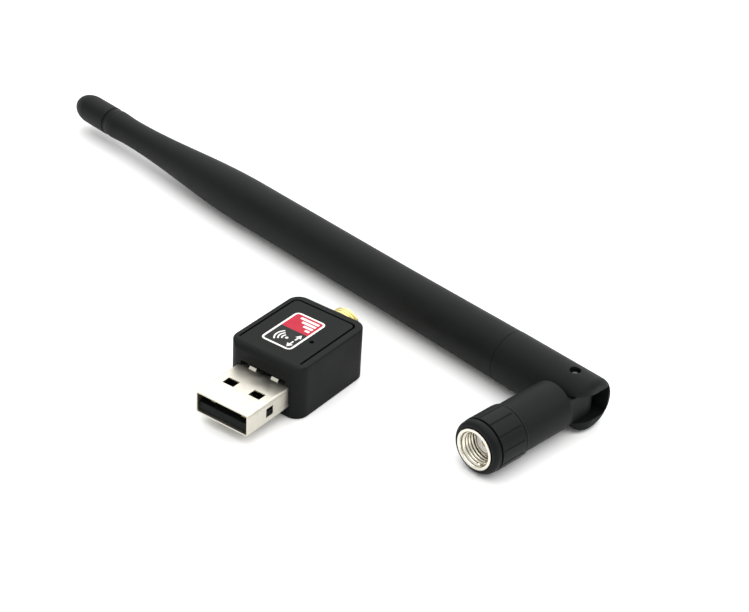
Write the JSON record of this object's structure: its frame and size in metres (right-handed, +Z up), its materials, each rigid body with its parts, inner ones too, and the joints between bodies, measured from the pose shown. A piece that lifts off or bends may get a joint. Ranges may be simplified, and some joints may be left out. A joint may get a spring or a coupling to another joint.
{
  "type": "usb wifi adapter",
  "caption": "Plug-in USB wifi adapter with a threaded aerial socket, and its long screw-on whip aerial with a folding elbow lying beside it.",
  "frame": {"origin": "centre of the object's bounding box at the surface it lies on", "axes": "+X along the antenna mast from its tip to its knuckle, +Z up, the folded elbow points to -Y"},
  "size_m": [0.157, 0.0586, 0.0111],
  "materials": {
    "housing_plastic": "fine matt texture, black",
    "mast_plastic": "satin black moulded",
    "grip_plastic": "satin black moulded, slightly glossier",
    "plug_nickel": "bright nickel plate",
    "shell_nickel": "satin nickel plate",
    "dark_steel": "blackened steel",
    "gold_plate": "thin gold plate",
    "raw_brass": "drawn brass",
    "copper_wire": "bare copper",
    "tinned_steel": "dull tin",
    "white_resin": "white fluoropolymer",
    "black_resin": "black glass-filled resin",
    "board_laminate": "green solder mask",
    "chip_resin": "matt moulding compound",
    "chip_ceramic": "tan ceramic",
    "lamp_lens": "clear epoxy",
    "badge_print": "printed, red and black with white",
    "cable_jacket": "brown fluoropolymer jacket",
    "bead_foam": "closed-cell foam",
    "gasket_rubber": "silicone"
  },
  "bodies": {
    "adapter": {"housing_shell": "housing_plastic", "housing_lid": "housing_plastic", "badge_label": "badge_print", "usb_shell": "shell_nickel", "usb_insulator": "black_resin", "usb_contact_1": "gold_plate", "usb_contact_2": "gold_plate", "usb_contact_3": "gold_plate", "usb_contact_4": "gold_plate", "circuit_board": "board_laminate", "radio_chip": "chip_resin", "crystal_can": "tinned_steel", "regulator_chip": "chip_resin", "status_lamp": "lamp_lens", "chip_capacitor_1": "chip_ceramic", "chip_capacitor_2": "chip_ceramic", "chip_capacitor_3": "chip_ceramic", "chip_capacitor_4": "chip_ceramic", "antenna_socket": "gold_plate", "socket_insulator": "white_resin", "socket_pin": "gold_plate"},
    "mast": {"mast_sheath": "mast_plastic", "tip_cap": "mast_plastic", "knuckle_fork": "mast_plastic", "hinge_pin_top": "dark_steel", "hinge_pin_bottom": "dark_steel", "coax_cable": "cable_jacket", "radiator_rod": "copper_wire", "radiator_sleeve": "raw_brass", "sleeve_ferrule": "raw_brass", "centering_bead_1": "bead_foam", "centering_bead_2": "bead_foam"},
    "elbow": {"elbow_base": "mast_plastic", "plug_body": "plug_nickel", "plug_insulator": "white_resin", "plug_contact": "gold_plate", "coax_tail": "cable_jacket", "retaining_ring": "tinned_steel", "plug_gasket": "gasket_rubber"},
    "nut": {"coupling_nut": "plug_nickel", "grip_sleeve": "grip_plastic"}
  },
  "joints": [
    {"name": "antenna_lift", "type": "slide", "parent": "adapter", "child": "mast", "axis": [0, 0, 1], "range_m": [0, 0.06]},
    {"name": "elbow_fold", "type": "hinge", "parent": "mast", "child": "elbow", "pos_m": [0.07315, 0.024, 0.0053], "axis": [0, 0, 1], "range_deg": [0, 90]},
    {"name": "nut_spin", "type": "hinge", "parent": "elbow", "child": "nut", "pos_m": [0.07315, 0.002, 0.0053], "axis": [0, -1, 0], "continuous": true}
  ]
}
